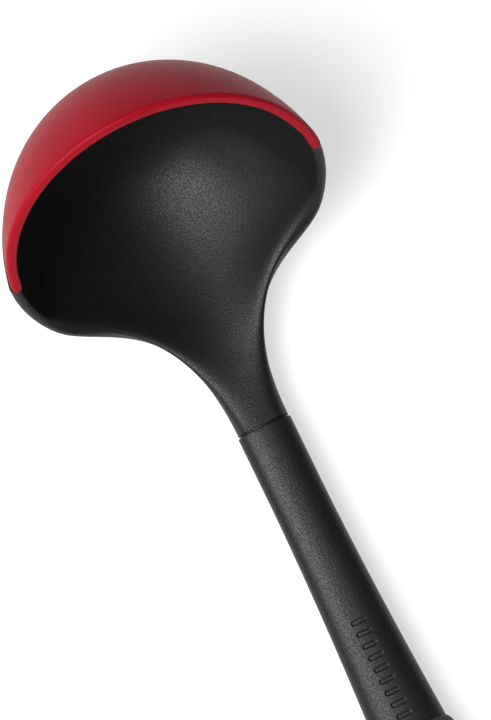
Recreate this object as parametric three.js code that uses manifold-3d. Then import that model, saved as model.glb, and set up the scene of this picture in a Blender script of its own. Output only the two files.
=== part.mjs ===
// A soup ladle: a nylon bowl and neck, a silicone edge over the front half of the bowl, and a hollow
// handle that takes the neck's tang, with a soft grip sleeve, a rest foot and a hanging end cap.
// Millimetres, +Z up. The ladle lies as it does on a worktop, with the bowl's back and the rest foot on
// z = 0, the handle along +X and the origin below the middle of its box.

import * as THREE from "three";
import { ParametricGeometry } from "three/addons/geometries/ParametricGeometry.js";
import { mergeVertices } from "three/addons/utils/BufferGeometryUtils.js";
import Module from "manifold-3d";

// Driving dimensions ---------------------------------------------------------------------------------

const GAP = 0.3; // clearance between pieces that touch

const BOWL_RADIUS = 47.5; // outside, at the rim, over its back half
const FRONT_DRAW_IN = 0.7; // how much less it is over the front half
const DRAW_IN_SPAN = THREE.MathUtils.degToRad(22); // the change between them, from the bowl's sides
const BOWL_DEPTH = 44; // outside, from the rim to the bottom
const DOME_RISE = 9; // the middle of the bowl's ellipsoid, above the rim's plane
const BOWL_WALL = 3.0;
const RIM_EDGE = 1.5; // rounding of the rim's edges
const RIM_POWER = 2.1; // how full the rim's rounding is: 2 is round, and more is squarer
const WALL_SPACING = 1.8; // draws the rows of the bowl's wall together towards the rim

const HANDLE_PITCH = THREE.MathUtils.degToRad(58); // handle axis above the rim's plane
const JOINT_BACK = 62.1; // the joint between neck and handle, behind the middle of the rim
const JOINT_RISE = 30.1; // and above the rim's plane
const NECK_HALF_WIDTH = 7.6;
const NECK_HALF_HEIGHT = 4.7;
const NECK_CROWN = 0.25; // bulge of the neck's top and bottom at the joint
const NECK_ROUND = 3.6; // depth of the neck's round sides at the joint
const SHOULDER_ANGLE = THREE.MathUtils.degToRad(60); // where the rim leaves its circle
const CORNER_ANGLE = THREE.MathUtils.degToRad(9); // azimuth of the corners of the neck's end
const SHOULDER_PULL = 16; // handles of the curve from the rim to the joint
const NECK_PULL = 42;
const NECK_POWER = 2; // fullness of that rounding
const NECK_START = 0.35; // share of the wall, from the bottom, where it begins to rise into the neck
const RELAX_PASSES = 12; // how often the neck's inside is evened out
const RELAX_START = 0.2; // share of the wall, from the bottom, where the evening begins
const RELAX_FULL = 0.65; // and where it is full
const RELAX_BLEND = THREE.MathUtils.degToRad(20); // azimuth over which it fades out at the shoulders

const SKIN = 1.2; // silicone over the bowl's wall
const SKIN_CAP = 1.5; // silicone over the rim
const SKIN_END = 0.9; // how far behind the middle of the rim the silicone ends
const SKIN_SLOPE = THREE.MathUtils.degToRad(38); // its end's lean towards the front, going down

const TANG = { root: 4, halfWidth: 4.2, halfHeight: 2.5, length: 46, barb: 0.6 };
const SEAL = { start: 5, length: 2.4, depth: 0.9 };
const SOCKET_LENGTH = 36;

const JOINT_GROOVE = 0.5;
const SHAFT_FRONT_WIDTH = 7.95; // half widths and half heights of the handle
const SHAFT_FRONT_HEIGHT = 5.1;
const SHAFT_REAR_WIDTH = 10.55;
const SHAFT_REAR_HEIGHT = 6.6;
const SHAFT_FLARE_START = 20;
const SHAFT_FLARE_POWER = 1.7;
const SHAFT_EDGE = 0.5; // rounding where the handle meets the neck
const BAR_POWER = 2.3; // fullness of the handle's section
const SOCKET_POWER = 4; // fullness of the tang's and the socket's section
const SHAFT_WALL = 2.0;
const COLLAR = { start: 94.3, length: 5.5, height: 1.3, power: 0.7 };
const SLEEVE_WALL = 1.8;
const GRIP_SWELL = 1.5;
const GRIP_END = { x: 192, halfWidth: 9.8, halfHeight: 6.3 };
const HANDLE_LENGTH = 214; // from the joint to the end
const FOOT = { halfWidth: 6.5, length: 6, root: 3 };
const HANG_HOLE = { width: 7, length: 12 };
const PLUG = { length: 12, lead: 2, taper: 0.5 };
const CAP_TIP = { back: 0.4, height: 0.35 }; // how far short the tip's face is, and its share of the height
const MARKS = { start: 61, pitch: 3.6, count: 9, length: 4.4, width: 1.3, depth: 0.35 };

// Solids ---------------------------------------------------------------------------------------------

const manifold = await Module();
manifold.setup();

function solid(geometry) {
  const bare = geometry.clone();
  bare.deleteAttribute("normal");
  bare.deleteAttribute("uv");
  const merged = mergeVertices(bare, 1e-4);
  const mesh = new manifold.Mesh({
    numProp: 3,
    vertProperties: merged.attributes.position.array,
    triVerts: new Uint32Array(merged.index.array),
  });
  return new manifold.Manifold(mesh);
}

function geometryOf(body) {
  const mesh = body.getMesh();
  const geometry = new THREE.BufferGeometry();
  geometry.setAttribute("position", new THREE.BufferAttribute(mesh.vertProperties, 3));
  geometry.setIndex(new THREE.BufferAttribute(mesh.triVerts, 1));
  geometry.computeVertexNormals();
  return geometry;
}

function steps(from, to, count) {
  return Array.from({ length: count }, (_, i) => from + ((to - from) * i) / count);
}

// A closed surface through a grid of points: columns go round it, and rows run from pole to pole.
function gridSolid(columns, rows, pointAt) {
  const last = { column: columns.length - 1, row: rows.length - 1 };
  const surface = new ParametricGeometry(
    (u, v, target) => {
      const column = columns[Math.round(u * last.column)];
      const row = rows[Math.round(v * last.row)];
      target.copy(pointAt(column, row));
    },
    last.column,
    last.row,
  );
  return solid(surface);
}

// The bowl and neck ----------------------------------------------------------------------------------
// Bowl frame: x towards the handle, y to the side, z along the rim's axis, origin in the rim's middle.

const Y = new THREE.Vector3(0, 1, 0);
const Z = new THREE.Vector3(0, 0, 1);
const handleAxis = new THREE.Vector3(Math.cos(HANDLE_PITCH), 0, Math.sin(HANDLE_PITCH));
const joint = new THREE.Vector3(JOINT_BACK, 0, JOINT_RISE);

function smooth(t) {
  return t * t * (3 - 2 * t);
}

const domeDepth = BOWL_DEPTH + DOME_RISE;
const rimShare = Math.sqrt(1 - (DOME_RISE / domeDepth) ** 2); // the rim's radius over the ellipsoid's

function rimRadius(azimuth) {
  const past = (Math.abs(azimuth) - Math.PI / 2) / DRAW_IN_SPAN;
  return BOWL_RADIUS - FRONT_DRAW_IN * smooth(THREE.MathUtils.clamp(past, 0, 1));
}

// The tilt from straight down at which the dome, set in from the outside by inset, is this far below
// the rim's plane.
function tiltAt(depth, inset) {
  return Math.acos((depth + DOME_RISE) / (domeDepth - inset));
}

function domePoint(azimuth, tilt, inset) {
  const across = (rimRadius(azimuth) / rimShare - inset) * Math.sin(tilt);
  const height = DOME_RISE - (domeDepth - inset) * Math.cos(tilt);
  return new THREE.Vector3(across * Math.cos(azimuth), across * Math.sin(azimuth), height);
}

function rimCrest(azimuth) {
  const crest = domePoint(azimuth, tiltAt(RIM_EDGE, BOWL_WALL / 2), BOWL_WALL / 2);
  return crest.setZ(0);
}

function rimDirection(azimuth) {
  const step = 1e-3;
  return rimCrest(azimuth - step).sub(rimCrest(azimuth + step)).normalize();
}

const neckSideEnd = joint.clone().addScaledVector(Y, NECK_HALF_WIDTH);
const neckSide = new THREE.CubicBezierCurve3(
  rimCrest(SHOULDER_ANGLE),
  rimCrest(SHOULDER_ANGLE).addScaledVector(rimDirection(SHOULDER_ANGLE), SHOULDER_PULL),
  neckSideEnd.clone().addScaledVector(handleAxis, -NECK_PULL),
  neckSideEnd,
);
const neckSector = SHOULDER_ANGLE - CORNER_ANGLE;
const neckEntry = (BOWL_RADIUS * neckSector) / (3 * SHOULDER_PULL); // keeps the rim's pace at the shoulder

// The rim and the neck's sides as one band: its crest, the ways up and out, and its rounding.
function bandAt(azimuth) {
  const angle = Math.abs(azimuth);
  if (angle >= SHOULDER_ANGLE) {
    const direction = rimDirection(angle);
    return {
      crest: rimCrest(angle),
      up: Z.clone(),
      out: new THREE.Vector3().crossVectors(Z, direction),
      half: BOWL_WALL / 2,
      round: RIM_EDGE,
      power: RIM_POWER,
    };
  }
  const run = Math.min(1, (SHOULDER_ANGLE - angle) / neckSector);
  const along = run * (neckEntry + (1 - neckEntry) * run);
  const direction = neckSide.getTangent(along);
  const turn = smooth(along);
  const up = Z.clone().lerp(Y, turn);
  up.addScaledVector(direction, -up.dot(direction)).normalize();
  return {
    crest: neckSide.getPoint(along),
    up,
    out: new THREE.Vector3().crossVectors(up, direction),
    half: THREE.MathUtils.lerp(BOWL_WALL / 2, NECK_HALF_HEIGHT, turn),
    round: THREE.MathUtils.lerp(RIM_EDGE, NECK_ROUND, turn),
    power: THREE.MathUtils.lerp(RIM_POWER, NECK_POWER, turn),
  };
}

// A point of the band's rounded section, from its outer edge (0) over the crest to its inner edge (pi).
function bandPoint(azimuth, turn) {
  const band = bandAt(azimuth);
  const power = 2 / band.power;
  const across = Math.sign(Math.cos(turn)) * Math.abs(Math.cos(turn)) ** power;
  const rise = Math.abs(Math.sin(turn)) ** power - 1;
  const point = band.crest.clone();
  point.addScaledVector(band.out, band.half * across);
  point.addScaledVector(band.up, band.round * rise);
  const share = Math.min(1, Math.abs(azimuth) / CORNER_ANGLE); // the flat end of the neck
  point.addScaledVector(band.out, across * NECK_CROWN * (1 - share ** 2));
  point.y *= share * Math.sign(azimuth);
  return point;
}

// A point of the wall, from the bottom (0) up to the band (1), outside or inside. It is drawn towards the
// band so that it meets the band's edge without a crease.
function wallPoint(azimuth, height, inset, bandTurn) {
  const lastTilt = tiltAt(RIM_EDGE, inset);
  const tilt = lastTilt * (1 - (1 - height) ** WALL_SPACING);
  const share = Math.max(0, (height - NECK_START) / (1 - NECK_START));
  const pull = bandPoint(azimuth, bandTurn).sub(domePoint(azimuth, lastTilt, inset));
  const out = bandAt(azimuth).out;
  out.y *= Math.sign(azimuth);
  const point = domePoint(azimuth, tilt, inset).addScaledVector(pull, share ** 2);
  return point.addScaledVector(out, pull.dot(out) * (smooth(share) - share ** 2));
}

const OUTSIDE = 0;
const INSIDE = Math.PI;

function headPoint(azimuth, row) {
  if (row.turn !== undefined) return bandPoint(azimuth, row.turn);
  const inset = row.face === INSIDE ? BOWL_WALL : 0;
  return wallPoint(azimuth, row.height, inset, row.face);
}

const headColumns = [
  ...steps(-Math.PI, -SHOULDER_ANGLE, 18),
  ...steps(-SHOULDER_ANGLE, -CORNER_ANGLE, 11),
  ...steps(-CORNER_ANGLE, CORNER_ANGLE, 6),
  ...steps(CORNER_ANGLE, SHOULDER_ANGLE, 11),
  ...steps(SHOULDER_ANGLE, Math.PI, 18),
  Math.PI,
];
const wallHeights = [...steps(0, 1, 13), 1];
const headRows = [
  ...wallHeights.map((height) => ({ face: OUTSIDE, height })),
  ...steps(0, Math.PI, 6).slice(1).map((turn) => ({ turn })),
  ...wallHeights.map((height) => ({ face: INSIDE, height })).reverse(),
];

// How freely a point moves when the neck's inside is evened out: 0 keeps it.
function freedom(azimuth, row) {
  if (row.face !== INSIDE || row.height === 1) return 0;
  const up = THREE.MathUtils.smoothstep(row.height, RELAX_START, RELAX_FULL);
  const aside = THREE.MathUtils.smoothstep(Math.abs(azimuth), SHOULDER_ANGLE - RELAX_BLEND, SHOULDER_ANGLE);
  return up * (1 - aside);
}

// The head's points, with the neck's inside evened out: each point is drawn to the middle of its neighbours.
const headPoints = headRows.map((row) => headColumns.map((azimuth) => headPoint(azimuth, row)));
for (let pass = 0; pass < RELAX_PASSES; pass++) {
  const before = headPoints.map((line) => line.map((point) => point.clone()));
  headRows.forEach((row, i) => {
    headColumns.forEach((azimuth, j) => {
      const free = freedom(azimuth, row);
      if (free === 0) return;
      const around = [before[i - 1][j], before[i + 1][j], before[i][j - 1], before[i][j + 1]];
      const middle = new THREE.Vector3();
      around.forEach((point) => middle.addScaledVector(point, 1 / around.length));
      headPoints[i][j].lerp(middle, free);
    });
  });
}
const head = gridSolid([...headColumns.keys()], [...headRows.keys()], (column, row) => headPoints[row][column]);

// What is under the silicone: the dome set in by inset, closed by a lid below the rim.
function bowlCore(inset, lid) {
  const columns = [...steps(-Math.PI, Math.PI, 54), Math.PI];
  const lidTilt = tiltAt(lid, inset);
  const rows = [...steps(0, lidTilt, 15), lidTilt, -1];
  return gridSolid(columns, rows, (azimuth, tilt) =>
    tilt < 0 ? new THREE.Vector3(0, 0, -lid) : domePoint(azimuth, tilt, inset),
  );
}

// Everything in front of the silicone's end.
function frontOf(end) {
  const size = 4 * BOWL_RADIUS;
  const block = new THREE.BoxGeometry(size, size, size);
  block.translate(-size / 2, 0, 0);
  block.rotateY(SKIN_SLOPE);
  block.translate(end, 0, 0);
  return solid(block);
}

const skinEdge = head.intersect(frontOf(SKIN_END)).subtract(bowlCore(SKIN, SKIN_CAP));
const skinRoom = frontOf(SKIN_END + GAP).subtract(bowlCore(SKIN + GAP, SKIN_CAP + GAP));
const bareHead = head.subtract(skinRoom);

// The handle -----------------------------------------------------------------------------------------
// Handle frame: x along the handle from the joint, y to the side, z up.

const sectionAngles = [...steps(0, 2 * Math.PI, 36), 2 * Math.PI];

// A body along x with a rounded section. Stations are [x, half width, half height].
function bar(stations, power = BAR_POWER) {
  const first = stations[0];
  const last = stations[stations.length - 1];
  const rows = [[first[0], 0, 0], ...stations, [last[0], 0, 0]];
  return gridSolid(sectionAngles, rows, (angle, [x, halfWidth, halfHeight]) => {
    const side = Math.sign(Math.cos(angle)) * Math.abs(Math.cos(angle)) ** (2 / power);
    const rise = Math.sign(Math.sin(angle)) * Math.abs(Math.sin(angle)) ** (2 / power);
    return new THREE.Vector3(x, halfWidth * side, halfHeight * rise);
  });
}

function shaftStation(x, inset) {
  const span = COLLAR.start - SHAFT_FLARE_START;
  const flare = Math.max(0, (x - SHAFT_FLARE_START) / span) ** SHAFT_FLARE_POWER;
  const width = THREE.MathUtils.lerp(SHAFT_FRONT_WIDTH, SHAFT_REAR_WIDTH, flare);
  const height = THREE.MathUtils.lerp(SHAFT_FRONT_HEIGHT, SHAFT_REAR_HEIGHT, flare);
  return [x, width - inset, height - inset];
}

function gripStation(x, inset) {
  const share = (x - COLLAR.start) / (GRIP_END.x - COLLAR.start);
  const swell = GRIP_SWELL * Math.sin(Math.PI * share) ** 2;
  const width = THREE.MathUtils.lerp(SHAFT_REAR_WIDTH, GRIP_END.halfWidth, share);
  const height = THREE.MathUtils.lerp(SHAFT_REAR_HEIGHT, GRIP_END.halfHeight, share);
  return [x, width + swell - inset, height + swell / 2 - inset];
}

const shaftOuter = bar([
  [JOINT_GROOVE, SHAFT_FRONT_WIDTH - SHAFT_EDGE, SHAFT_FRONT_HEIGHT - SHAFT_EDGE],
  shaftStation(JOINT_GROOVE + SHAFT_EDGE, 0),
  ...steps(SHAFT_FLARE_START, COLLAR.start - GAP, 10).map((x) => shaftStation(x, 0)),
  shaftStation(COLLAR.start - GAP, 0),
]);
const sleeveInset = SLEEVE_WALL + GAP;
const overlap = 4; // how far joined bodies reach into each other
const shaftRear = bar([
  ...steps(COLLAR.start - overlap, GRIP_END.x, 8).map((x) => gripStation(x, sleeveInset)),
  gripStation(GRIP_END.x, sleeveInset),
]);
const hollow = bar([
  ...steps(SOCKET_LENGTH, COLLAR.start, 4).map((x) => shaftStation(x, SHAFT_WALL + GAP)),
  ...steps(COLLAR.start + overlap, GRIP_END.x + 1, 5).map((x) => gripStation(x, sleeveInset + SHAFT_WALL)),
  gripStation(GRIP_END.x + 1, sleeveInset + SHAFT_WALL),
]);
const socketWidth = TANG.halfWidth + GAP;
const socketHeight = TANG.halfHeight + GAP;
const socket = bar([
  [-1, socketWidth, socketHeight],
  [SOCKET_LENGTH + 1, socketWidth, socketHeight],
], SOCKET_POWER);
const sealRoom = bar([
  [SEAL.start - GAP, socketWidth + SEAL.depth, socketHeight + SEAL.depth],
  [SEAL.start + SEAL.length + GAP, socketWidth + SEAL.depth, socketHeight + SEAL.depth],
], SOCKET_POWER);

// One dash of the plain grip row on the handle's top.
function dash(x) {
  const bend = MARKS.width / 2;
  const reach = MARKS.length / 2 - bend;
  const outline = new THREE.Shape();
  outline.absarc(0, reach, bend, 0, Math.PI);
  outline.absarc(0, -reach, bend, Math.PI, 2 * Math.PI);
  const tool = new THREE.ExtrudeGeometry(outline, { depth: MARKS.pitch, bevelEnabled: false, curveSegments: 6 });
  const top = shaftStation(x, 0)[2];
  tool.translate(x, 0, top - MARKS.depth);
  return solid(tool);
}

let shaft = shaftOuter.add(shaftRear).subtract(hollow).subtract(socket).subtract(sealRoom);
for (let i = 0; i < MARKS.count; i++) {
  shaft = shaft.subtract(dash(MARKS.start + i * MARKS.pitch));
}

const seal = bar([
  [SEAL.start, socketWidth + SEAL.depth - GAP, socketHeight + SEAL.depth - GAP],
  [SEAL.start + SEAL.length, socketWidth + SEAL.depth - GAP, socketHeight + SEAL.depth - GAP],
], 4).subtract(bar([
  [0, socketWidth, socketHeight],
  [SEAL.start + 2 * SEAL.length, socketWidth, socketHeight],
], SOCKET_POWER));

// The tang starts inside the neck, and its barbs catch behind the socket.
const tang = bar([
  [-TANG.root, TANG.halfWidth, TANG.halfHeight],
  [SOCKET_LENGTH + GAP, TANG.halfWidth, TANG.halfHeight],
  [SOCKET_LENGTH + 2 * GAP, TANG.halfWidth + TANG.barb, TANG.halfHeight],
  [TANG.length, TANG.halfWidth - TANG.barb, TANG.halfHeight - TANG.barb],
], SOCKET_POWER);

// The sleeve, with its collar and the foot that the ladle rests on.
function collarRise(x) {
  const share = (x - COLLAR.start) / COLLAR.length;
  return share > 1 ? 0 : COLLAR.height * Math.sin(Math.PI * share) ** COLLAR.power;
}
const collarStations = [...steps(COLLAR.start, COLLAR.start + COLLAR.length, 6), COLLAR.start + COLLAR.length];
const gripStations = [...steps(COLLAR.start + 12, GRIP_END.x, 9), GRIP_END.x];
const sleeveOuter = bar([...collarStations, ...gripStations].map((x) => gripStation(x, -collarRise(x))));
const sleeveInner = bar([
  ...steps(COLLAR.start - overlap, GRIP_END.x + overlap, 9).map((x) => gripStation(x, SLEEVE_WALL)),
  gripStation(GRIP_END.x + overlap, SLEEVE_WALL),
]);

// The end cap: a plug in the hollow, and a rounded end with the hanging hole.
const capStart = GRIP_END.x + GAP;
const capLength = HANDLE_LENGTH - capStart;
function capStation(x) {
  const share = (x - capStart) / capLength;
  const round = Math.sqrt(1 - share ** 4);
  const height = THREE.MathUtils.lerp(CAP_TIP.height, 1, round);
  return [x, GRIP_END.halfWidth * round, GRIP_END.halfHeight * height];
}
const capStations = [...steps(capStart, HANDLE_LENGTH, 8), HANDLE_LENGTH - CAP_TIP.back].map(capStation);
const plugInset = sleeveInset + SHAFT_WALL + GAP;
const plug = bar([
  gripStation(GRIP_END.x - PLUG.length, plugInset + PLUG.taper),
  gripStation(GRIP_END.x - PLUG.length + PLUG.lead, plugInset),
  gripStation(capStart + 1, plugInset),
]);
function hangHole() {
  const bend = HANG_HOLE.width / 2;
  const reach = HANG_HOLE.length / 2 - bend;
  const outline = new THREE.Shape();
  outline.absarc(reach, 0, bend, -Math.PI / 2, Math.PI / 2);
  outline.absarc(-reach, 0, bend, Math.PI / 2, (3 * Math.PI) / 2);
  const depth = 4 * GRIP_END.halfHeight;
  const tool = new THREE.ExtrudeGeometry(outline, { depth, bevelEnabled: false, curveSegments: 10 });
  tool.translate(capStart + capLength / 2, 0, -depth / 2);
  return solid(tool);
}
const cap = bar(capStations).add(plug).subtract(hangHole());

// Assembly -------------------------------------------------------------------------------------------

const nylon = { color: 0x1c1c1d, roughness: 0.62, metalness: 0 };
const silicone = { color: 0xb3101f, roughness: 0.5, metalness: 0 };
const softGrip = { color: 0x161617, roughness: 0.8, metalness: 0 };

function piece(name, body, look) {
  const mesh = new THREE.Mesh(geometryOf(body), new THREE.MeshStandardMaterial(look));
  mesh.name = name;
  return mesh;
}

// Puts a body given in the handle frame into the bowl frame.
function toBowlFrame(body) {
  const turn = new THREE.Matrix4().makeRotationY(-HANDLE_PITCH).setPosition(joint);
  return solid(geometryOf(body).applyMatrix4(turn));
}

// The bowl frame's way of lying: the handle level, and the joint at the handle's origin.
const bowlGroup = new THREE.Group();
bowlGroup.rotation.y = HANDLE_PITCH;
bowlGroup.position.copy(joint).applyAxisAngle(Y, HANDLE_PITCH).negate();
bowlGroup.add(piece("ladle_head", bareHead.add(toBowlFrame(tang)), nylon));
bowlGroup.add(piece("silicone_edge", skinEdge, silicone));
bowlGroup.updateMatrixWorld(true);

const ground = new THREE.Box3().setFromObject(bowlGroup, true).min.z;
const footMiddle = COLLAR.start + COLLAR.length / 2;
const footShape = new THREE.BoxGeometry(FOOT.length, 2 * FOOT.halfWidth, -ground - FOOT.root);
footShape.translate(footMiddle, 0, (ground - FOOT.root) / 2);
const sleeve = sleeveOuter.add(solid(footShape)).subtract(sleeveInner);

const ladle = new THREE.Group();
ladle.add(bowlGroup);
ladle.add(piece("handle_shaft", shaft, nylon));
ladle.add(piece("tang_seal", seal, silicone));
ladle.add(piece("grip_sleeve", sleeve, softGrip));
ladle.add(piece("end_cap", cap, nylon));

const box = new THREE.Box3().setFromObject(ladle, true);
const middle = box.getCenter(new THREE.Vector3());
ladle.position.set(-middle.x, -middle.y, -box.min.z);

export default ladle;
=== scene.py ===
# A soup ladle: a grained black nylon head with a red silicone edge, on a black handle with a soft grip.
# Shapes are worked out in millimetres, in the bowl's own frame or along the handle, and every mesh is
# placed in metres around the frame's joint between neck and handle.

import math

import bmesh
import bpy
import numpy as np
from mathutils import Matrix, Vector


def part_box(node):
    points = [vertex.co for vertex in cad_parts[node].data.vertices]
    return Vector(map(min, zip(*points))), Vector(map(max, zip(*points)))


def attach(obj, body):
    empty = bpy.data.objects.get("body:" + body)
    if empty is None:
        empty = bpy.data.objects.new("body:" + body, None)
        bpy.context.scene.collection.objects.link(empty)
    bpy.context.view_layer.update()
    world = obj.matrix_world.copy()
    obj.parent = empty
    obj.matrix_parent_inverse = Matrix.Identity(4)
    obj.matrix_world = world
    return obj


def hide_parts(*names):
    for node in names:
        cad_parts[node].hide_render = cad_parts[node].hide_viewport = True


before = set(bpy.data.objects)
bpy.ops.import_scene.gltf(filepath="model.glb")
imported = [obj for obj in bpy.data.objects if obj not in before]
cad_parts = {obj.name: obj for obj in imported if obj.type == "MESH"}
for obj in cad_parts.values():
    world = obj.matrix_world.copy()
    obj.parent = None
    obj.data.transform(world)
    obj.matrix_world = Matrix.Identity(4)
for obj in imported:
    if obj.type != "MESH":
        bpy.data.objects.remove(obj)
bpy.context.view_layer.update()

MM = 0.001

# Sizes in millimetres, and angles. A power is how full a rounding is: 2 is round, and more is squarer ---

BOWL_RADIUS = 47.5  # outside, at the rim, over its back half
FRONT_DRAW_IN = 0.7  # how much less it is over the front half
DRAW_IN_SPAN = math.radians(22)  # the change between them, from the bowl's sides
BOWL_DEPTH = 44  # outside, from the rim to the bottom
DOME_RISE = 9  # the middle of the bowl's ellipsoid, above the rim's plane
BOWL_WALL = 3.0
RIM_EDGE = 1.5  # rounding of the rim's edges
RIM_POWER = 2.1
WALL_SPACING = 1.8  # draws the rows of the bowl's wall together towards the rim
WALL_FOOT = 0.012  # the lowest row, as a share of the wall from the bottom

HANDLE_PITCH = math.radians(58)  # handle axis above the rim's plane
JOINT_BACK = 62.1  # the joint between neck and handle, behind the middle of the rim
JOINT_RISE = 30.1  # and above the rim's plane
NECK_HALF_WIDTH = 7.6
NECK_HALF_HEIGHT = 4.7
NECK_CROWN = 0.25  # bulge of the neck's top and bottom at the joint
NECK_ROUND = 3.6  # depth of the neck's round sides at the joint
NECK_POWER = 2.0
SHOULDER_ANGLE = math.radians(60)  # where the rim leaves its circle
CORNER_ANGLE = math.radians(9)  # azimuth of the corners of the neck's end
SHOULDER_PULL = 16  # handles of the curve from the rim to the joint
NECK_PULL = 42
NECK_START = 0.35  # share of the wall, from the bottom, where it begins to rise into the neck

RELAX_PASSES = 1200  # how often the neck's inside is evened out
RELAX_PULL = 0.9  # share of the way to its neighbours' middle that a free point takes
RELAX_START = 0.2  # share of the wall, from the bottom, where the evening begins
RELAX_FULL = 0.65  # and where it is full
RELAX_BAND = {"start": 0.55, "span": 0.3}  # shares of the rim's band, from outside in, where it fades in
RELAX_REACH = math.radians(8)  # how far past the shoulders it goes
RELAX_BLEND = math.radians(20)  # azimuth over which it fades out there

SKIN = 1.2  # silicone over the bowl's wall
SKIN_CAP = 1.5  # silicone over the rim
SKIN_END = 0.9  # how far behind the middle of the rim the silicone ends
SKIN_SLOPE = math.radians(38)  # its end's lean towards the front, going down
TIP_ROUND = 1.3  # how much its tips are rounded in plan
SEAM_GAP = 0.06  # between the silicone and the nylon
SEAM_ROUND = 0.35
REBATE_PROUD = 0.8  # how far the tool that cuts the rebate stands off the bowl
LIP_OUTER_EDGE = 1.1
LIP_INNER_EDGE = 0.5

TANG = {"half_width": 4.2, "half_height": 2.5, "length": 46}
JOINT_STEP = {"inset": 0.6, "root": 1.5}  # the neck's low step, which fills the joint's groove
SEAL_START = 5
SEAL_LENGTH = 2.4
SEAL_DEPTH = 0.9
SOCKET_LENGTH = 36
GAP = 0.3  # clearance inside the handle
TOUCH = 0.02  # clearance between pieces that meet in sight

JOINT_GROOVE = 0.5
SHAFT_FRONT = (7.95, 5.1)  # half width and half height of the handle at the joint
SHAFT_REAR = (10.55, 6.6)  # and at the collar
SHAFT_FLARE_START = 20
SHAFT_FLARE_POWER = 1.7
SHAFT_WALL = 2.0
SHAFT_EDGE = 0.5  # rounding where the handle meets the neck
BAR_POWER = 2.3  # fullness of the handle's section
SOCKET_POWER = 4.0  # fullness of the tang's and the socket's section
COLLAR_START = 94.3
COLLAR_LENGTH = 5.5
COLLAR_HEIGHT = 1.3
COLLAR_POWER = 0.7
SLEEVE_WALL = 1.8
GRIP_SWELL = 1.5
GRIP_END = 192
GRIP_END_SIZE = (9.8, 6.3)
CAP_SEAM_EDGE = 0.4  # rounding on both sides of the seam between grip and cap
HANDLE_LENGTH = 214  # from the joint to the end
FOOT = {"half_width": 6.5, "length": 6, "root": 1, "edge": 0.8, "power": 6}
PLUG = {"length": 12, "lead": 2, "taper": 0.5}
CAP_TIP = {"height": 0.35, "closing": 0.9, "narrowest": 0.02, "first": 0.04}  # shares of the cap's size
HANG_HOLE = {"width": 7, "length": 12, "reach": 9}
HOLE_FLARE = {"depth": 1.1, "start": 4.4, "span": 2.4, "power": 1.5}
MARKS = {"start": 61, "pitch": 3.6, "count": 9, "length": 4.4, "width": 1.3, "depth": 0.35, "edge": 0.3}
MARKS_MARGIN = 2  # fine rows before the first dash and after the last
MARKS_SECTOR = 0.42  # half the turn, in radians, with fine columns for the dashes

# Meshes -------------------------------------------------------------------------------------------------


def smooth(t):
    t = np.clip(t, 0, 1)
    return t * t * (3 - 2 * t)


def lerp(a, b, t):
    return a + (b - a) * t


def make_object(name, vertices, faces, placement):
    """A smooth-shaded object with its place in its mesh; vertices are in millimetres."""
    mesh = bpy.data.meshes.new(name)
    mesh.from_pydata([tuple(v) for v in np.asarray(vertices) * MM], [], faces)
    work = bmesh.new()
    work.from_mesh(mesh)
    bmesh.ops.remove_doubles(work, verts=work.verts, dist=1e-7)
    bmesh.ops.dissolve_degenerate(work, edges=work.edges, dist=1e-8)
    bmesh.ops.recalc_face_normals(work, faces=work.faces)
    for face in work.faces:
        face.smooth = True
    work.to_mesh(mesh)
    work.free()
    mesh.transform(placement)
    obj = bpy.data.objects.new(name, mesh)
    bpy.context.scene.collection.objects.link(obj)
    return obj


def sharpen(obj, degrees):
    """Marks the edges that turn by more than this, so that smooth shading stops at them."""
    obj.data.set_sharp_from_angle(angle=math.radians(degrees))


def boolean(obj, tool, operation):
    """Joins or cuts obj with tool, exactly, and removes the tool."""
    modifier = obj.modifiers.new("boolean", "BOOLEAN")
    modifier.object = tool
    modifier.operation = operation
    modifier.solver = "EXACT"
    graph = bpy.context.evaluated_depsgraph_get()
    mesh = bpy.data.meshes.new_from_object(obj.evaluated_get(graph))
    obj.modifiers.remove(modifier)
    old = obj.data
    obj.data = mesh
    mesh.name = obj.name
    bpy.data.meshes.remove(old)
    bpy.data.objects.remove(tool)
    return obj


def grid_faces(rows, columns, wrap_rows=False, wrap_columns=True):
    """The four-sided faces of a grid of rows times columns, numbered row by row."""
    faces = []
    for i in range(rows if wrap_rows else rows - 1):
        below = (i + 1) % rows
        for j in range(columns if wrap_columns else columns - 1):
            beside = (j + 1) % columns
            here = i * columns
            there = below * columns
            faces.append((here + j, here + beside, there + beside, there + j))
    return faces


def capped_grid(name, points, placement):
    """A closed surface: columns go round, and the first and last rows are each closed by one face."""
    rows, columns = points.shape[:2]
    faces = grid_faces(rows, columns)
    faces.append(tuple(range(columns)))
    faces.append(tuple(range((rows - 1) * columns, rows * columns)))
    return make_object(name, points.reshape(-1, 3), faces, placement)


def looped_grid(name, points, placement):
    """A closed tube: columns go round, and the last row joins the first."""
    rows, columns = points.shape[:2]
    return make_object(name, points.reshape(-1, 3), grid_faces(rows, columns, wrap_rows=True), placement)


# The joint between neck and handle, found from the seal, which sits on the handle's axis just behind it.
seal_low, seal_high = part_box("tang_seal")
joint_place = Vector((seal_low.x - SEAL_START * MM, 0, (seal_low.z + seal_high.z) / 2))
handle_place = Matrix.Translation(joint_place)
bowl_to_row = Matrix.Rotation(HANDLE_PITCH, 4, "Y")
bowl_place = handle_place @ bowl_to_row @ Matrix.Translation(Vector((-JOINT_BACK, 0, -JOINT_RISE)) * MM)

# The head's shape, in the bowl's frame: x towards the handle, y to the side, z along the rim's axis -----

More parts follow.
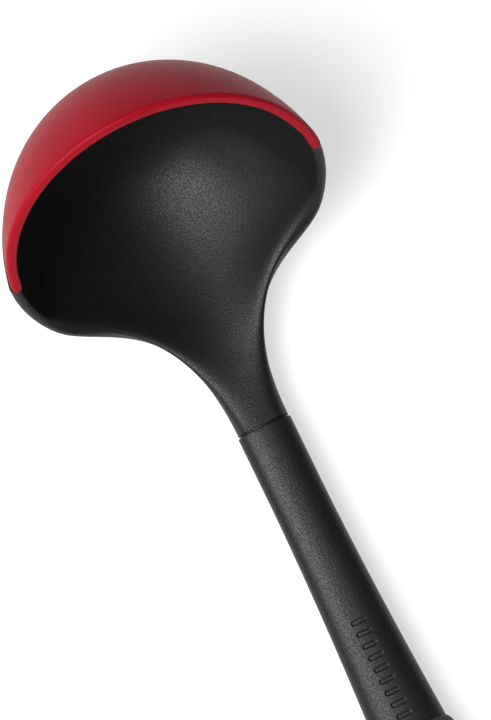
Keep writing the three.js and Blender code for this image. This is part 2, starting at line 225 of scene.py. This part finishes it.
DOME_DEPTH = BOWL_DEPTH + DOME_RISE
RIM_SHARE = math.sqrt(1 - (DOME_RISE / DOME_DEPTH) ** 2)
SIDE = np.array([0.0, 1.0, 0.0])
UP = np.array([0.0, 0.0, 1.0])
HANDLE_AXIS = np.array([math.cos(HANDLE_PITCH), 0, math.sin(HANDLE_PITCH)])
JOINT = np.array([JOINT_BACK, 0, JOINT_RISE])


def unit(v):
    return v / np.linalg.norm(v, axis=-1, keepdims=True)


def rim_radius(azimuth):
    past = (np.abs(azimuth) - math.pi / 2) / DRAW_IN_SPAN
    return BOWL_RADIUS - FRONT_DRAW_IN * smooth(past)


def tilt_at(depth, inset):
    """The tilt from straight down at which the dome, set in by inset, is this far below the rim."""
    return np.arccos((depth + DOME_RISE) / (DOME_DEPTH - inset))


def dome_point(azimuth, tilt, inset):
    """A point of the bowl's ellipsoid, set in from its outside by inset."""
    across = (rim_radius(azimuth) / RIM_SHARE - inset) * np.sin(tilt)
    height = DOME_RISE - (DOME_DEPTH - inset) * np.cos(tilt)
    return np.stack(np.broadcast_arrays(across * np.cos(azimuth), across * np.sin(azimuth), height), -1)


def rim_crest(azimuth):
    """The top of the rim's rounding, in the rim's plane."""
    crest = dome_point(azimuth, tilt_at(RIM_EDGE, BOWL_WALL / 2), BOWL_WALL / 2)
    crest[..., 2] = 0
    return crest


def rim_direction(azimuth):
    step = 1e-3
    return unit(rim_crest(azimuth - step) - rim_crest(azimuth + step))


def neck_side_knots():
    """The four knots of the cubic curve from the rim's shoulder to the joint."""
    start = rim_crest(np.array(SHOULDER_ANGLE))
    end = JOINT + SIDE * NECK_HALF_WIDTH
    pulled = start + rim_direction(np.array(SHOULDER_ANGLE)) * SHOULDER_PULL
    return start, pulled, end - HANDLE_AXIS * NECK_PULL, end


def neck_side(along):
    """The curve's point and direction at this share of it."""
    a, b, c, d = neck_side_knots()
    t = along[..., None]
    point = a * (1 - t) ** 3 + 3 * b * t * (1 - t) ** 2 + 3 * c * t**2 * (1 - t) + d * t**3
    slope = (b - a) * (1 - t) ** 2 + 2 * (c - b) * t * (1 - t) + (d - c) * t**2
    return point, unit(slope)


NECK_SECTOR = SHOULDER_ANGLE - CORNER_ANGLE
NECK_ENTRY = BOWL_RADIUS * NECK_SECTOR / (3 * SHOULDER_PULL)  # keeps the rim's pace at the shoulder


def band_point(azimuth, turn):
    """The rounded band of the rim and the neck's sides, from its outer edge (turn 0) to its inner (pi).

    Returns the point and the band's way out, square to the way that the band runs."""
    azimuth, turn = np.broadcast_arrays(azimuth, turn)
    angle = np.abs(azimuth)
    on_rim = (angle >= SHOULDER_ANGLE)[..., None]
    run = np.clip((SHOULDER_ANGLE - angle) / NECK_SECTOR, 0, 1)
    along = run * (NECK_ENTRY + (1 - NECK_ENTRY) * run)
    neck_crest, neck_direction = neck_side(along)
    crest = np.where(on_rim, rim_crest(angle), neck_crest)
    direction = np.where(on_rim, rim_direction(angle), neck_direction)
    share = smooth(along)
    up = lerp(UP, SIDE, share[..., None])
    up = unit(up - direction * np.sum(up * direction, -1, keepdims=True))
    out = np.cross(up, direction)
    half = lerp(BOWL_WALL / 2, NECK_HALF_HEIGHT, share)
    height = lerp(RIM_EDGE, NECK_ROUND, share)
    power = 2 / lerp(RIM_POWER, NECK_POWER, share)
    across = np.sign(np.cos(turn)) * np.abs(np.cos(turn)) ** power
    rise = np.abs(np.sin(turn)) ** power - 1
    end_share = np.clip(angle / CORNER_ANGLE, 0, 1)
    sideways = across * (half + NECK_CROWN * (1 - end_share**2))
    point = crest + out * sideways[..., None] + up * (height * rise)[..., None]
    mirror = np.stack(np.broadcast_arrays(1.0, end_share * np.sign(azimuth), 1.0), -1)
    return point * mirror, out * np.stack(np.broadcast_arrays(1.0, np.sign(azimuth), 1.0), -1)


def wall_point(azimuth, height, inset):
    """A point of the wall, from the bottom (0) up to the band (1), on the outside or the inside.

    The pull towards the band grows so that the wall meets the band's edge without a crease."""
    last_tilt = tilt_at(RIM_EDGE, inset)
    tilt = last_tilt * (1 - (1 - height) ** WALL_SPACING)
    edge, out = band_point(azimuth, math.pi if inset > 0 else 0.0)
    share = np.clip((height - NECK_START) / (1 - NECK_START), 0, 1)[..., None]
    pull = edge - dome_point(azimuth, last_tilt, inset)
    outward = out * np.sum(pull * out, -1, keepdims=True)
    return dome_point(azimuth, tilt, inset) + pull * share**2 + outward * (smooth(share) - share**2)


def seam_depth(point):
    """How far in front of the silicone's end a point lies.

    The end slants, and is round in plan at the rim."""
    radius = np.hypot(point[..., 0], point[..., 1])
    middle = BOWL_RADIUS - BOWL_WALL / 2
    off_middle = np.clip((radius - middle) / (BOWL_WALL / 2), -1, 1)
    end = SKIN_END - TIP_ROUND * off_middle**4 + math.tan(SKIN_SLOPE) * point[..., 2]
    return (end - point[..., 0]) * math.cos(SKIN_SLOPE)


# The nylon head ---------------------------------------------------------------------------------------


def bar_point(angle, half_width, half_height, power):
    """A point of a bar's section at this angle, counted from its side to its top."""
    side = np.sign(np.cos(angle)) * np.abs(np.cos(angle)) ** (2 / power)
    rise = np.sign(np.sin(angle)) * np.abs(np.sin(angle)) ** (2 / power)
    return half_width * side, half_height * rise


def bar_points(stations, angles):
    """Points of a bar along the handle. A station is x, half width, half height and power."""
    rows = []
    for x, half_width, half_height, power in stations:
        y, z = bar_point(angles, half_width, half_height, power)
        rows.append(np.stack([np.full_like(y, x), y, z], -1))
    return np.array(rows)


def turns(count):
    return np.linspace(0, 2 * math.pi, count, endpoint=False)


def relax(points, weight, passes):
    """Draws each point of a grid towards the middle of its neighbours, by its weight, again and again."""
    rows = np.flatnonzero(weight.max(1))
    columns = np.flatnonzero(weight.max(0))
    inner = np.s_[rows[0] : rows[-1] + 1, columns[0] : columns[-1] + 1]
    block = points[rows[0] - 1 : rows[-1] + 2, columns[0] - 1 : columns[-1] + 2].copy()
    share = weight[inner][..., None]
    for _ in range(passes):
        middle = block[:-2, 1:-1] + block[2:, 1:-1] + block[1:-1, :-2] + block[1:-1, 2:]
        block[1:-1, 1:-1] += (middle / 4 - block[1:-1, 1:-1]) * share
    relaxed = points.copy()
    relaxed[inner] = block[1:-1, 1:-1]
    return relaxed


def relax_weight(azimuth, heights, band_turns):
    """How freely each point of the head may move: the neck's inside does, and the joint's end stays."""
    wall_share = smooth((heights - RELAX_START) / (RELAX_FULL - RELAX_START))
    band_share = smooth((band_turns / math.pi - RELAX_BAND["start"]) / RELAX_BAND["span"])
    row_share = np.concatenate([0 * heights, band_share, wall_share[::-1]])
    off_joint = smooth((np.abs(azimuth) - CORNER_ANGLE) / (0.5 * CORNER_ANGLE))
    on_wall = np.concatenate([0 * heights, 0 * band_share, (heights[::-1] < 1)])
    open_row = np.maximum(on_wall[:, None], off_joint[None, :])
    sector = smooth((SHOULDER_ANGLE + RELAX_REACH - np.abs(azimuth)) / RELAX_BLEND)
    return RELAX_PULL * row_share[:, None] * sector[None, :] * open_row


def whole_head():
    """The bowl, rim and neck, before the silicone's rebate is cut."""
    end_columns = np.linspace(0, CORNER_ANGLE, 14, endpoint=False)
    neck_columns = np.linspace(CORNER_ANGLE, SHOULDER_ANGLE, 90, endpoint=False)
    rim_columns = np.linspace(SHOULDER_ANGLE, math.pi, 150)
    half = np.concatenate([end_columns, neck_columns, rim_columns])
    azimuth = np.concatenate([-half[-2:0:-1], half])
    low_heights = np.linspace(WALL_FOOT, NECK_START, 36, endpoint=False)
    high_heights = NECK_START + (1 - NECK_START) * np.linspace(0, 1, 110) ** 0.75
    heights = np.concatenate([low_heights, high_heights])
    band_turns = np.linspace(0, math.pi, 24)[1:-1]
    outer = [wall_point(azimuth, np.full_like(azimuth, h), 0.0) for h in heights]
    band = [band_point(azimuth, turn)[0] for turn in band_turns]
    inner = [wall_point(azimuth, np.full_like(azimuth, h), BOWL_WALL) for h in heights[::-1]]
    weight = relax_weight(azimuth, heights, band_turns)
    points = relax(np.array(outer + band + inner), weight, RELAX_PASSES)
    return capped_grid("ladle_head_fine", points, bowl_place)


def lip_point(azimuth, turn):
    """The silicone's lip: a wide rounding outside, a flat top, and a tight rounding inside.

    Returns the point and its way out."""
    outer = dome_point(azimuth, tilt_at(LIP_OUTER_EDGE, 0.0), 0.0)
    inner = dome_point(azimuth, tilt_at(LIP_INNER_EDGE, BOWL_WALL), BOWL_WALL)
    inward = unit((inner - outer) * (1, 1, 0))
    out = -inward * math.cos(turn) + UP * math.sin(turn)
    if turn <= math.pi / 2:
        step = LIP_OUTER_EDGE * (1 - math.cos(turn))
        return outer + inward * step + UP * LIP_OUTER_EDGE * math.sin(turn), out
    step = LIP_INNER_EDGE * (1 + math.cos(turn))
    return inner - inward * step + UP * LIP_INNER_EDGE * math.sin(turn), out


def silicone_row(azimuth, kind, value, grow):
    """One row of the silicone and its way out: the skin's outside, the lip, the strip inside the bowl,
    or the sides that are bonded to the nylon. Grow widens the bonded sides."""
    nowhere = np.zeros(3)
    if kind == "outside":
        tilt = tilt_at(LIP_OUTER_EDGE, 0.0) * value
        point = dome_point(azimuth, tilt, 0.0)
        return point, point - dome_point(azimuth, tilt, 1.0)
    if kind == "lip":
        return lip_point(azimuth, value)
    if kind == "strip":
        tilt = tilt_at(value + grow, BOWL_WALL)
        point = dome_point(azimuth, tilt, BOWL_WALL)
        return point, dome_point(azimuth, tilt, BOWL_WALL + 1.0) - point
    if kind == "lid":
        return dome_point(azimuth, tilt_at(SKIN_CAP + grow, value), value), nowhere
    return dome_point(azimuth, tilt_at(SKIN_CAP + grow, SKIN + grow) * value, SKIN + grow), nowhere


def halve(low, high, is_past):
    """The value between low and high at which is_past turns true."""
    for _ in range(40):
        middle = (low + high) / 2
        low, high = (low, middle) if is_past(middle) else (middle, high)
    return high


def silicone_points(grow=0.0, proud=0.0):
    """The silicone's grid: rows go round its section, and columns run from one tip to the other.

    Proud lifts the outside off the head's surface, for the tool that cuts the head. Otherwise the outside
    sinks with a small rounding at the seam."""

    def past_seam(azimuth, kind, value):
        return seam_depth(silicone_row(np.array(azimuth), kind, value, grow)[0]) > -grow

    lowest = halve(0.0, 1.0, lambda share: past_seam(math.pi, "outside", share))
    shares = lowest + (1 - lowest) * np.linspace(0, 1, 90) ** 1.5
    rows = [("outside", share) for share in shares]
    rows += [("lip", turn) for turn in np.linspace(0, math.pi, 33)[1:-1]]
    rows += [("strip", depth) for depth in np.linspace(LIP_INNER_EDGE, SKIN_CAP, 6)]
    rows += [("lid", inset) for inset in np.linspace(BOWL_WALL, SKIN + grow, 6)[1:-1]]
    rows += [("bonded", share) for share in shares[::-1]]
    spread = np.sin(np.linspace(-1, 1, 241) * math.pi / 2)
    points = []
    for kind, value in rows:
        end = halve(SHOULDER_ANGLE, math.pi, lambda azimuth: past_seam(azimuth, kind, value))
        azimuth = math.pi + spread * (math.pi - end)
        point, out = silicone_row(azimuth, kind, value, grow)
        near = np.clip(seam_depth(point), 0, SEAM_ROUND)
        sunk = SEAM_ROUND - np.sqrt(SEAM_ROUND**2 - (SEAM_ROUND - near) ** 2)
        lift = np.full_like(sunk, proud) if proud else -sunk
        points.append(point + out * lift[..., None])
    return np.array(points)


def open_grid(name, points):
    """A closed surface: rows go round, and each end is closed by one face."""
    rows, columns = points.shape[:2]
    faces = grid_faces(rows, columns, wrap_rows=True, wrap_columns=False)
    faces.append(tuple(range(0, rows * columns, columns)))
    faces.append(tuple(range(columns - 1, rows * columns, columns)))
    return make_object(name, points.reshape(-1, 3), faces, bowl_place)


def make_silicone():
    return open_grid("silicone_edge_fine", silicone_points())


def make_head():
    """The head with the rebate for the silicone, the low step in the joint's groove, and the tang."""
    head = whole_head()
    boolean(head, open_grid("rebate", silicone_points(grow=SEAM_GAP, proud=REBATE_PROUD)), "DIFFERENCE")
    width, height = TANG["half_width"], TANG["half_height"]
    inset = JOINT_STEP["inset"]
    step = (NECK_HALF_WIDTH - inset, NECK_HALF_HEIGHT - inset, NECK_POWER)
    stations = [
        (-JOINT_STEP["root"], *step),
        (JOINT_GROOVE - TOUCH, *step),
        (JOINT_GROOVE - TOUCH, width, height, SOCKET_POWER),
        (TANG["length"] - 1, width, height, SOCKET_POWER),
        (TANG["length"], width - 1, height - 1, SOCKET_POWER),
    ]
    return boolean(head, capped_grid("tang", bar_points(stations, turns(48)), handle_place), "UNION")


# The handle -------------------------------------------------------------------------------------------


def shaft_size(x):
    """Half width and half height of the handle in front of the collar."""
    flare = max(0, (x - SHAFT_FLARE_START) / (COLLAR_START - SHAFT_FLARE_START)) ** SHAFT_FLARE_POWER
    return [lerp(SHAFT_FRONT[i], SHAFT_REAR[i], flare) for i in (0, 1)]


def grip_size(x):
    """Half width and half height of the grip behind the collar's start."""
    share = (x - COLLAR_START) / (GRIP_END - COLLAR_START)
    swell = GRIP_SWELL * math.sin(math.pi * share) ** 2
    width, height = [lerp(SHAFT_REAR[i], GRIP_END_SIZE[i], share) for i in (0, 1)]
    return width + swell, height + swell / 2


def station(x, size, inset=0.0, power=BAR_POWER):
    return (x, size[0] - inset, size[1] - inset, power)


def rounded_edge(x, size, radius, way, count=7):
    """Stations of a rounded edge at x. The way is 1 where the bar starts there and -1 where it ends."""
    stations = []
    for turn in np.linspace(0, math.pi / 2, count):
        inset = radius * (1 - math.sin(turn))
        stations.append(station(x + way * radius * (1 - math.cos(turn)), size, inset))
    return stations if way > 0 else stations[::-1]


def dash_depth(x, y):
    """How deep the row of plain dashes is sunk at this point of the handle's top."""
    bend = MARKS["width"] / 2
    reach = MARKS["length"] / 2 - bend
    depth = np.zeros_like(x)
    for i in range(MARKS["count"]):
        middle = MARKS["start"] + i * MARKS["pitch"]
        distance = np.hypot(x - middle, np.maximum(0, np.abs(y) - reach)) - bend
        depth = np.maximum(depth, MARKS["depth"] * smooth(0.5 - distance / MARKS["edge"]))
    return depth


def make_shaft():
    """The handle's outside from the joint to the collar, the thinner core behind it, and the way back
    through the bore, the socket and the room for the seal."""
    low = MARKS["start"] - MARKS_MARGIN
    high = MARKS["start"] + MARKS["pitch"] * (MARKS["count"] - 1) + MARKS_MARGIN
    last = COLLAR_START - TOUCH
    plain = list(np.linspace(JOINT_GROOVE + SHAFT_EDGE + 1, low, 60, endpoint=False))
    marked = list(np.linspace(low, high, 240))
    rest = list(np.linspace(high, last, 6))[1:]
    stations = rounded_edge(JOINT_GROOVE, shaft_size(0), SHAFT_EDGE, 1)
    stations += [station(x, shaft_size(x)) for x in plain + marked + rest]
    outside = len(stations)
    core = SLEEVE_WALL + GAP
    stations += [station(x, grip_size(x), core) for x in np.linspace(last, GRIP_END, 40)]
    bore = core + SHAFT_WALL
    stations += [station(x, grip_size(x), bore) for x in np.linspace(GRIP_END, COLLAR_START, 40)]
    socket_lead = SOCKET_LENGTH + 1
    stations += [station(x, shaft_size(x), bore) for x in np.linspace(COLLAR_START, socket_lead, 20)]
    socket = (TANG["half_width"] + GAP, TANG["half_height"] + GAP)
    seal_room = -SEAL_DEPTH
    seal_end = SEAL_START + SEAL_LENGTH
    stations += [station(x, socket, 0, SOCKET_POWER) for x in (SOCKET_LENGTH, seal_end + GAP)]
    stations += [station(x, socket, seal_room, SOCKET_POWER) for x in (seal_end + GAP, SEAL_START - GAP)]
    stations += [station(x, socket, 0, SOCKET_POWER) for x in (SEAL_START - GAP, JOINT_GROOVE)]
    # Points crowd together on the handle's top, where the dashes are.
    top = math.pi / 2 + np.linspace(-1, 1, 70) * MARKS_SECTOR
    under = math.pi / 2 + MARKS_SECTOR + np.linspace(0, 2 * (math.pi - MARKS_SECTOR), 110)[1:-1]
    points = bar_points(stations, np.concatenate([top, under]))
    x, y, z = points[..., 0], points[..., 1], points[..., 2]
    on_top = (z > 0) & (np.arange(len(stations)) < outside)[:, None]
    z -= np.where(on_top, dash_depth(x, y), 0)
    return looped_grid("handle_shaft_fine", points, handle_place)


def collar_rise(x):
    """How far the collar's bead stands off the grip."""
    share = (x - COLLAR_START) / COLLAR_LENGTH
    return COLLAR_HEIGHT * math.sin(math.pi * share) ** COLLAR_POWER if 0 < share < 1 else 0


def make_sleeve():
    """The grip with its collar, as a tube, and the foot under it."""
    bead = COLLAR_START + COLLAR_LENGTH * (1 - np.cos(np.linspace(0, math.pi, 40))) / 2
    plain = np.linspace(COLLAR_START + COLLAR_LENGTH, GRIP_END - 1, 90)[1:]
    stations = [station(x, grip_size(x), -collar_rise(x)) for x in list(bead) + list(plain)]
    stations += rounded_edge(GRIP_END, grip_size(GRIP_END), CAP_SEAM_EDGE, -1)
    stations += [station(x, grip_size(x), SLEEVE_WALL) for x in np.linspace(GRIP_END, COLLAR_START, 60)]
    sleeve = looped_grid("grip_sleeve_fine", bar_points(stations, turns(200)), handle_place)
    return boolean(sleeve, make_foot(), "UNION")


def make_foot():
    """The block under the collar that the ladle rests on, with rounded corners and a rounded sole."""
    middle = COLLAR_START + COLLAR_LENGTH / 2
    ground = -joint_place.z / MM
    top = FOOT["root"] - grip_size(middle)[1]
    around = turns(96)
    rows = []
    for turn in np.linspace(0, math.pi / 2, 8):
        inset = FOOT["edge"] * (1 - math.sin(turn))
        rise = FOOT["edge"] * (1 - math.cos(turn))
        y, x = bar_point(around, FOOT["half_width"] - inset, FOOT["length"] / 2 - inset, FOOT["power"])
        rows.append(np.stack([middle + x, y, np.full_like(x, ground + rise)], -1))
    rows.append(rows[-1] * (1, 1, 0) + (0, 0, top))
    return capped_grid("foot", np.array(rows), handle_place)


def cap_tip(start, length):
    """Stations of the cap's outside, which closes in a soft wedge."""
    stations = []
    for share in np.sin(np.linspace(CAP_TIP["first"], 1, 60) * math.pi / 2):
        edge = math.sqrt(max(0, 1 - share**4))
        width = GRIP_END_SIZE[0] * max(edge, CAP_TIP["narrowest"])
        height = GRIP_END_SIZE[1] * lerp(CAP_TIP["height"], 1, edge)
        if share == 1:
            height *= CAP_TIP["closing"]
        stations.append((start + length * share, width, height, BAR_POWER))
    return stations


def hanging_hole(middle):
    """The tool that cuts the hanging slot, flared at the cap's top and bottom."""
    bend = HANG_HOLE["width"] / 2
    reach = HANG_HOLE["length"] / 2 - bend
    angles = turns(96)
    rows = []
    for z in np.linspace(-HANG_HOLE["reach"], HANG_HOLE["reach"], 73):
        share = smooth((abs(z) - HOLE_FLARE["start"]) / HOLE_FLARE["span"])
        radius = bend + HOLE_FLARE["depth"] * share ** HOLE_FLARE["power"]
        x = middle + np.sign(np.cos(angles)) * reach + radius * np.cos(angles)
        rows.append(np.stack([x, radius * np.sin(angles), np.full_like(x, z)], -1))
    return capped_grid("hole", np.array(rows), handle_place)


def make_cap():
    """The end cap: a plug inside the handle's core, and a rounded end with a slot to hang it by."""
    start = GRIP_END + TOUCH
    length = HANDLE_LENGTH - start
    plug = SLEEVE_WALL + 2 * GAP + SHAFT_WALL
    first = GRIP_END - PLUG["length"]
    stations = [station(first, grip_size(first), plug + PLUG["taper"])]
    stations += [station(x, grip_size(x), plug) for x in (first + PLUG["lead"], start)]
    stations += rounded_edge(start, GRIP_END_SIZE, CAP_SEAM_EDGE, 1)
    stations += cap_tip(start, length)
    cap = capped_grid("end_cap_fine", bar_points(stations, turns(200)), handle_place)
    return boolean(cap, hanging_hole(start + length / 2), "DIFFERENCE")


# Materials --------------------------------------------------------------------------------------------

# Pairs of base colours that each material moves between.
NYLON_BLACK = ((0.002, 0.002, 0.0021), (0.012, 0.012, 0.0123))
SILICONE_RED = ((0.29, 0.002, 0.009), (0.33, 0.003, 0.012))
GRIP_BLACK = ((0.012, 0.012, 0.0125), (0.016, 0.016, 0.0165))
SEAL_BLACK = ((0.01, 0.01, 0.01), (0.013, 0.013, 0.013))
FLOOR_GREY = ((0.44, 0.44, 0.44), (0.46, 0.46, 0.46))
FLOOR_GLOW = 0.64


class Shader:
    """A node material in the making: nodes are added from left to right, and linked by name."""

    def __init__(self, name):
        self.material = bpy.data.materials.new(name)
        self.material.use_nodes = True
        self.tree = self.material.node_tree
        self.surface = self.tree.nodes["Principled BSDF"]
        self.place = self.add("ShaderNodeTexCoord").outputs["Object"]

    def add(self, kind, links=None, **settings):
        """A node of this kind, with its settings, and with a link or a plain value for each named input."""
        node = self.tree.nodes.new(kind)
        for key, value in settings.items():
            setattr(node, key, value)
        for socket, source in (links or {}).items():
            target = node.inputs[socket]
            if isinstance(source, bpy.types.NodeSocket):
                self.tree.links.new(source, target)
            else:
                target.default_value = source
        return node

    def noise(self, size, detail=2.0, roughness=0.5):
        """Noise whose lumps are about this many millimetres across."""
        links = {"Vector": self.place, "Scale": 0.5 / (size * MM)}
        links |= {"Detail": detail, "Roughness": roughness}
        return self.add("ShaderNodeTexNoise", links).outputs["Fac"]

    def grain(self, size):
        """Rounded pits and bumps about this many millimetres across."""
        links = {"Vector": self.place, "Scale": 1 / (size * MM), "Randomness": 1.0}
        return self.add("ShaderNodeTexVoronoi", links, feature="SMOOTH_F1").outputs["Distance"]

    def remap(self, source, low, high, new_low, new_high):
        """The source, brought from between low and high to between new_low and new_high."""
        links = {"Value": source, "From Min": low, "From Max": high}
        links |= {"To Min": new_low, "To Max": new_high}
        return self.add("ShaderNodeMapRange", links).outputs["Result"]

    def colour(self, source, low, high, pair):
        """The base colour: the pair's first where the source is low, and its second where it is high."""
        node = self.add("ShaderNodeMix", data_type="RGBA")
        self.tree.links.new(self.remap(source, low, high, 0, 1), node.inputs["Factor"])
        node.inputs["A"].default_value = (*pair[0], 1)
        node.inputs["B"].default_value = (*pair[1], 1)
        self.drive("Base Color", node.outputs["Result"])

    def bump(self, height, depth, normal=None):
        """A bump whose full height is this many millimetres."""
        links = {"Height": height, "Distance": depth * MM, "Strength": 1.0}
        if normal is not None:
            links["Normal"] = normal
        return self.add("ShaderNodeBump", links).outputs["Normal"]

    def drive(self, socket, source):
        self.tree.links.new(source, self.surface.inputs[socket])

    def set(self, **values):
        for name, value in values.items():
            self.surface.inputs[name.replace("_", " ")].default_value = value


def nylon(name, rough):
    """Spark-eroded black nylon: a fine grain that catches the light, over slow changes of gloss."""
    shader = Shader(name)
    slow = shader.noise(14, detail=3)
    fine = shader.noise(0.2, detail=1, roughness=0.6)
    pits = shader.grain(0.4)
    speckle = shader.noise(0.16, detail=0)
    shader.colour(speckle, 0.4, 0.7, NYLON_BLACK)
    gloss = shader.remap(slow, 0.3, 0.7, rough - 0.03, rough + 0.04)
    sparkle = shader.remap(speckle, 0.3, 0.7, 0.12, -0.12)
    varied = shader.add("ShaderNodeMath", {0: gloss, 1: sparkle}, operation="ADD")
    shader.drive("Roughness", varied.outputs["Value"])
    coarse = shader.bump(fine, 0.07)
    shader.drive("Normal", shader.bump(pits, 0.03, coarse))
    shader.set(Specular_IOR_Level=0.35)
    return shader.material


def silicone(name):
    """Red food silicone: smooth and matt, with the faintest mottling."""
    shader = Shader(name)
    cloud = shader.noise(9, detail=4)
    fine = shader.noise(0.7, detail=2)
    shader.colour(cloud, 0.35, 0.65, SILICONE_RED)
    shader.drive("Roughness", shader.remap(fine, 0.3, 0.7, 0.42, 0.5))
    shader.drive("Normal", shader.bump(fine, 0.004))
    shader.set(Specular_IOR_Level=0.1)
    return shader.material


def soft_rubber(name, pair):
    """Soft-touch elastomer: velvety, with a very fine even texture."""
    shader = Shader(name)
    cloud = shader.noise(11, detail=3)
    fine = shader.noise(0.35, detail=2)
    shader.colour(cloud, 0.35, 0.65, pair)
    shader.drive("Roughness", shader.remap(fine, 0.3, 0.7, 0.66, 0.76))
    shader.drive("Normal", shader.bump(fine, 0.012))
    shader.set(Specular_IOR_Level=0.45, Sheen_Weight=0.05, Sheen_Roughness=0.5)
    return shader.material


def pale_floor(name):
    """A matt pale surface that glows a little, so that it goes white where the light falls on it."""
    shader = Shader(name)
    cloud = shader.noise(60, detail=3)
    shader.colour(cloud, 0.3, 0.7, FLOOR_GREY)
    shader.set(Roughness=0.9, Specular_IOR_Level=0.1)
    shader.set(Emission_Color=(1.0, 1.0, 1.0, 1.0), Emission_Strength=FLOOR_GLOW)
    return shader.material


def finish_piece(piece, material, node):
    """Gives the piece its material and slot, and puts it in the place of its node."""
    piece.data.materials.clear()
    piece.data.materials.append(material)
    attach(piece, "root")
    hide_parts(node)


# The ladle --------------------------------------------------------------------------------------------

head = make_head()
sharpen(head, 40)
finish_piece(head, nylon("head_nylon", 0.48), "ladle_head")

skin = make_silicone()
sharpen(skin, 50)
finish_piece(skin, silicone("red_silicone"), "silicone_edge")

shaft = make_shaft()
sharpen(shaft, 50)
finish_piece(shaft, nylon("handle_nylon", 0.46), "handle_shaft")

sleeve = make_sleeve()
sharpen(sleeve, 50)
finish_piece(sleeve, soft_rubber("grip_rubber", GRIP_BLACK), "grip_sleeve")

cap = make_cap()
sharpen(cap, 40)
finish_piece(cap, nylon("cap_nylon", 0.46), "end_cap")

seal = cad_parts["tang_seal"]
seal_rubber = soft_rubber("seal_rubber", SEAL_BLACK)
for slot in seal.material_slots:
    slot.material = seal_rubber

# Floor, light and camera, in metres -------------------------------------------------------------------

FLOOR_REACH = 12.0
FLOOR_DROP = 0.0002
# The key light's direction is from the middle of the head, and its power is in watts.
KEY_LIGHT = {"direction": (0.08, -0.52, 0.86), "distance": 0.9, "size": 0.72, "power": 14.5}
WORLD_ABOVE = 0.08
WORLD_BELOW = 0.66
WORLD_BLEND = 0.01  # how far below the horizon one passes into the other

CAMERA_TILT = math.radians(7.2)  # towards the handle's end
CAMERA_LEAN = math.radians(1.4)  # to one side
HANDLE_TURN = math.radians(64.25)  # of the handle in the picture, down from level
CAMERA_DISTANCE = 5.0
VIEW_HEIGHT = 0.1988
VIEW_SHIFT = {"towards_bowl": 0.0185, "sideways": 0.00345}  # of the view's middle, from the joint


def make_floor():
    corners = [(x, y, -FLOOR_DROP) for x, y in ((-1, -1), (1, -1), (1, 1), (-1, 1))]
    mesh = bpy.data.meshes.new("floor")
    mesh.from_pydata([(x * FLOOR_REACH, y * FLOOR_REACH, z) for x, y, z in corners], [], [(0, 1, 2, 3)])
    floor = bpy.data.objects.new("floor", mesh)
    bpy.context.scene.collection.objects.link(floor)
    mesh.materials.append(pale_floor("pale_floor"))


def make_key_light(aim):
    """A square soft light, placed off its aim in the key light's direction."""
    light = bpy.data.lights.new("key", "AREA")
    light.energy = KEY_LIGHT["power"]
    light.size = KEY_LIGHT["size"]
    lamp = bpy.data.objects.new("key", light)
    lamp.location = aim + Vector(KEY_LIGHT["direction"]).normalized() * KEY_LIGHT["distance"]
    lamp.rotation_euler = (lamp.location - aim).to_track_quat("Z", "Y").to_euler()
    bpy.context.scene.collection.objects.link(lamp)


def make_world():
    """A weak even light from above. Below the horizon it is as bright as the floor, to hide its edge."""
    world = bpy.data.worlds.new("studio")
    world.use_nodes = True
    tree = world.node_tree
    direction = tree.nodes.new("ShaderNodeTexCoord").outputs["Generated"]
    split = tree.nodes.new("ShaderNodeSeparateXYZ")
    tree.links.new(direction, split.inputs["Vector"])
    level = tree.nodes.new("ShaderNodeMapRange")
    tree.links.new(split.outputs["Z"], level.inputs["Value"])
    level.inputs["From Min"].default_value = -WORLD_BLEND
    level.inputs["From Max"].default_value = 0.0
    level.inputs["To Min"].default_value = WORLD_BELOW
    level.inputs["To Max"].default_value = WORLD_ABOVE
    background = tree.nodes["Background"]
    background.inputs["Color"].default_value = (1, 1, 1, 1)
    tree.links.new(level.outputs["Result"], background.inputs["Strength"])
    bpy.context.scene.world = world


def make_camera():
    """Looks down on the ladle from far off, with its handle running down to the right."""
    along = Vector((math.cos(CAMERA_TILT), 0, -math.sin(CAMERA_TILT)))
    lean = Matrix.Rotation(CAMERA_LEAN, 3, along)
    across = lean @ Vector((0, 1, 0))
    back = along.cross(across)
    aim = joint_place - along * VIEW_SHIFT["towards_bowl"] + across * VIEW_SHIFT["sideways"]
    right = along * math.cos(HANDLE_TURN) + across * math.sin(HANDLE_TURN)
    up = back.cross(right)
    camera = bpy.data.objects.new("camera", bpy.data.cameras.new("camera"))
    turn = Matrix((right, up, back)).transposed().to_4x4()
    camera.matrix_world = Matrix.Translation(aim + back * CAMERA_DISTANCE) @ turn
    camera.data.lens = camera.data.sensor_width * CAMERA_DISTANCE / VIEW_HEIGHT
    bpy.context.scene.collection.objects.link(camera)
    bpy.context.scene.camera = camera


make_floor()
head_low, head_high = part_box("ladle_head")
make_key_light((head_low + head_high) / 2)
make_world()
make_camera()
bpy.context.scene.view_settings.view_transform = "Standard"
